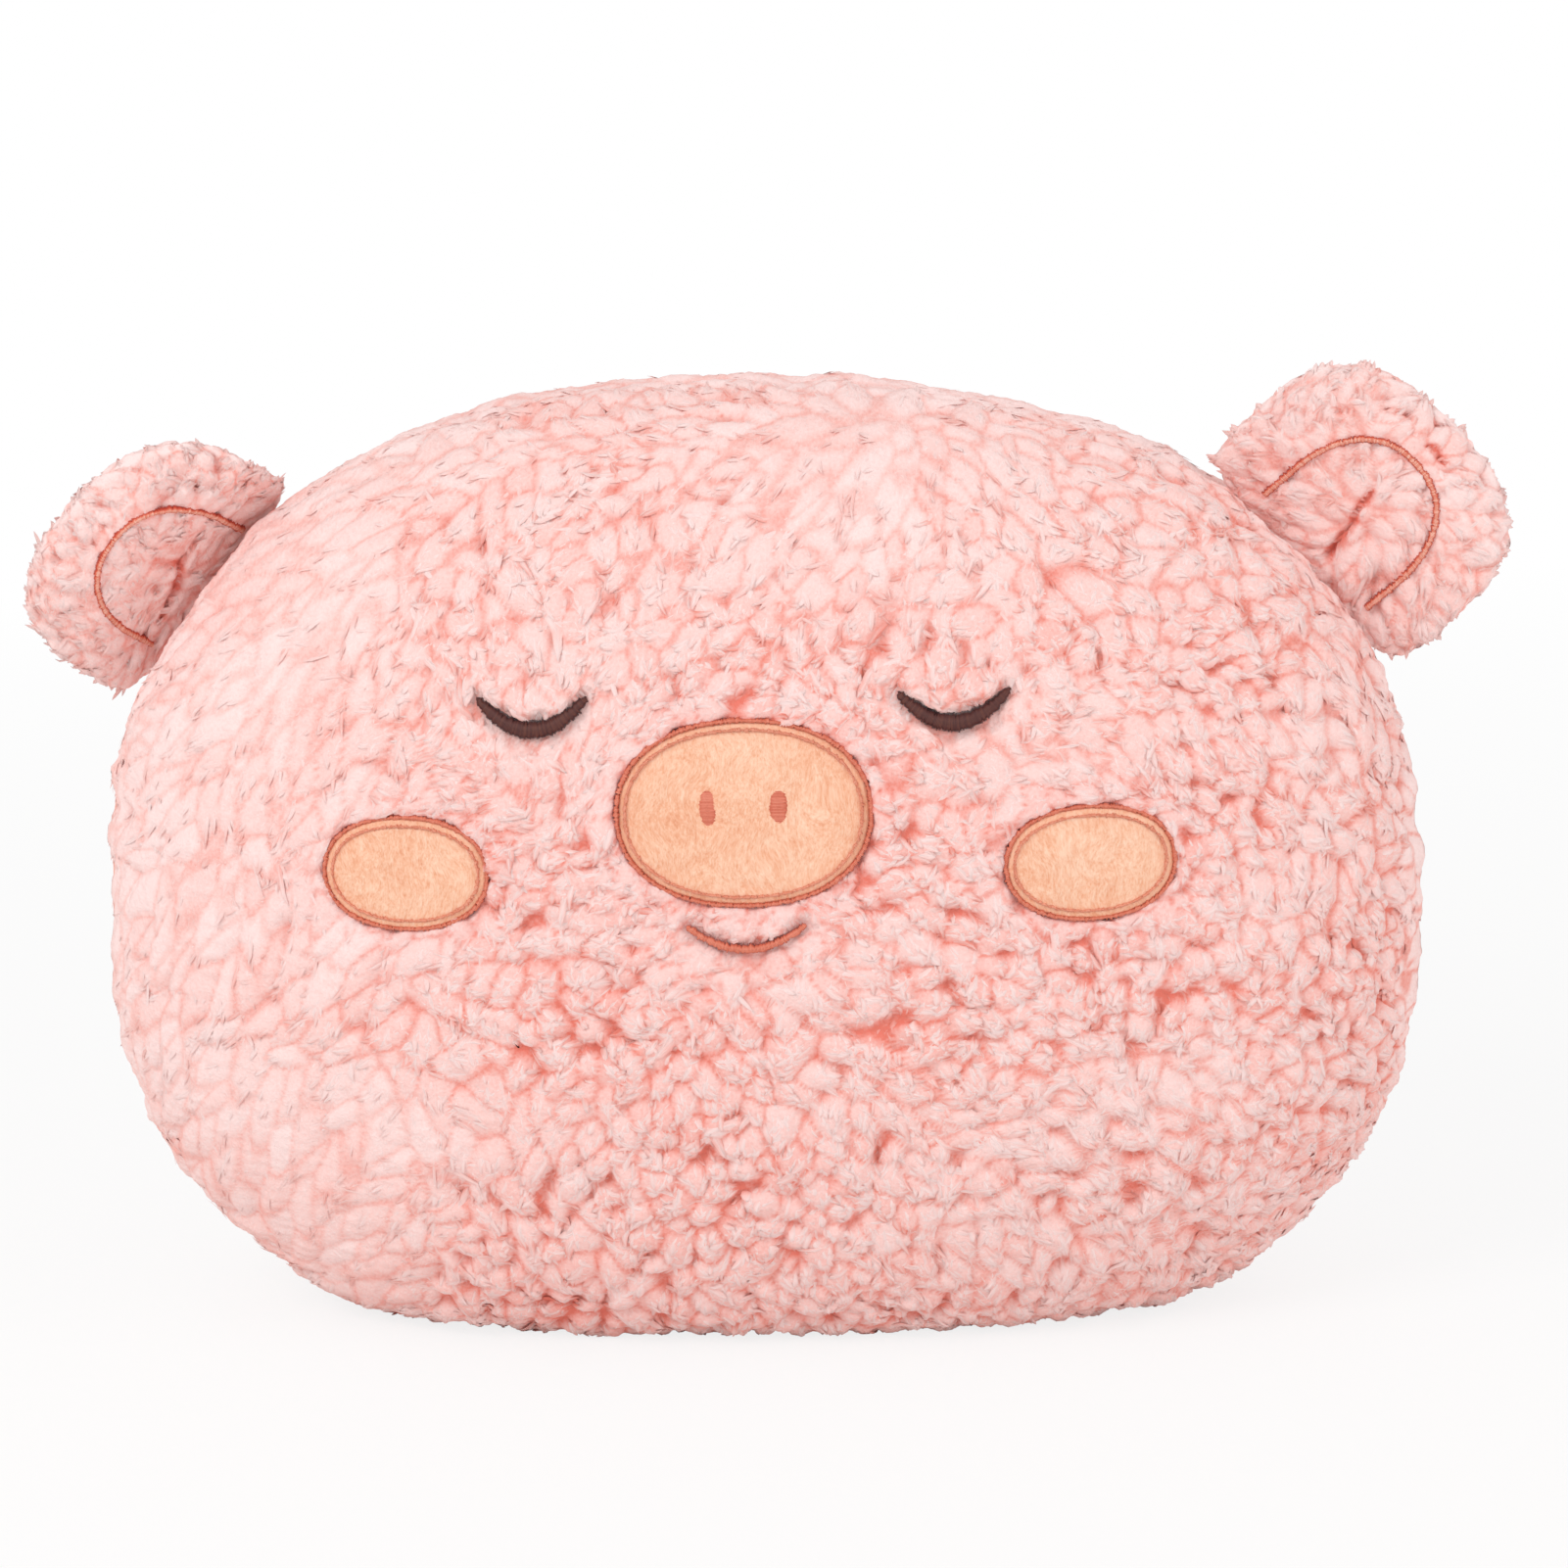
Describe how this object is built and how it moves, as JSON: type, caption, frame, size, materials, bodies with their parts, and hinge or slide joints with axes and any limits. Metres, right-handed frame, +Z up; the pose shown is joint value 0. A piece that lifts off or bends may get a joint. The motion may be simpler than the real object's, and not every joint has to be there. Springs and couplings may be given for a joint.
{
  "type": "plush hand warmer cushion",
  "caption": "Plump fleece cushion shaped like a sleepy pig's head, with folding ears, an embroidered face and a lined hand tunnel from side to side.",
  "frame": {"origin": "on the floor under the middle of the cushion, in the plane of the seam between its front and back panels", "axes": "+X across the cushion, to the right seen from the front; +Z up; the face looks along -Y"},
  "size_m": [0.4525, 0.176, 0.2858],
  "materials": {
    "sherpa_fleece": "matte",
    "lining_plush": "matte",
    "fibre_fill": "matte",
    "peach_velboa": "matte",
    "coral_thread": "satin",
    "brown_thread": "satin"
  },
  "bodies": {
    "cushion": {"front_cover": "sherpa_fleece", "back_cover": "sherpa_fleece", "front_filling": "fibre_fill", "back_filling": "fibre_fill", "pocket_lining": "lining_plush", "snout_patch": "peach_velboa", "snout_border": "coral_thread", "mouth_stitching": "coral_thread", "left_nostril": "coral_thread", "right_nostril": "coral_thread", "left_cheek": "peach_velboa", "left_cheek_border": "coral_thread", "right_cheek": "peach_velboa", "right_cheek_border": "coral_thread", "left_eye": "brown_thread", "right_eye": "brown_thread"},
    "left_ear": {"left_ear_front": "sherpa_fleece", "left_ear_back": "sherpa_fleece", "left_ear_filling": "fibre_fill", "left_ear_stitching": "coral_thread"},
    "right_ear": {"right_ear_front": "sherpa_fleece", "right_ear_back": "sherpa_fleece", "right_ear_filling": "fibre_fill", "right_ear_stitching": "coral_thread"}
  },
  "joints": [
    {"name": "left_ear_fold", "type": "hinge", "parent": "cushion", "child": "left_ear", "pos_m": [-0.17254, 0, 0.22367], "axis": [0.622, 0, 0.783], "range_deg": [-74, 16], "stiffness_Nm_per_rad": 0.05},
    {"name": "right_ear_fold", "type": "hinge", "parent": "cushion", "child": "right_ear", "pos_m": [0.16869, 0, 0.2283], "axis": [0.657, 0, -0.7539], "range_deg": [-48, 42], "stiffness_Nm_per_rad": 0.05}
  ]
}
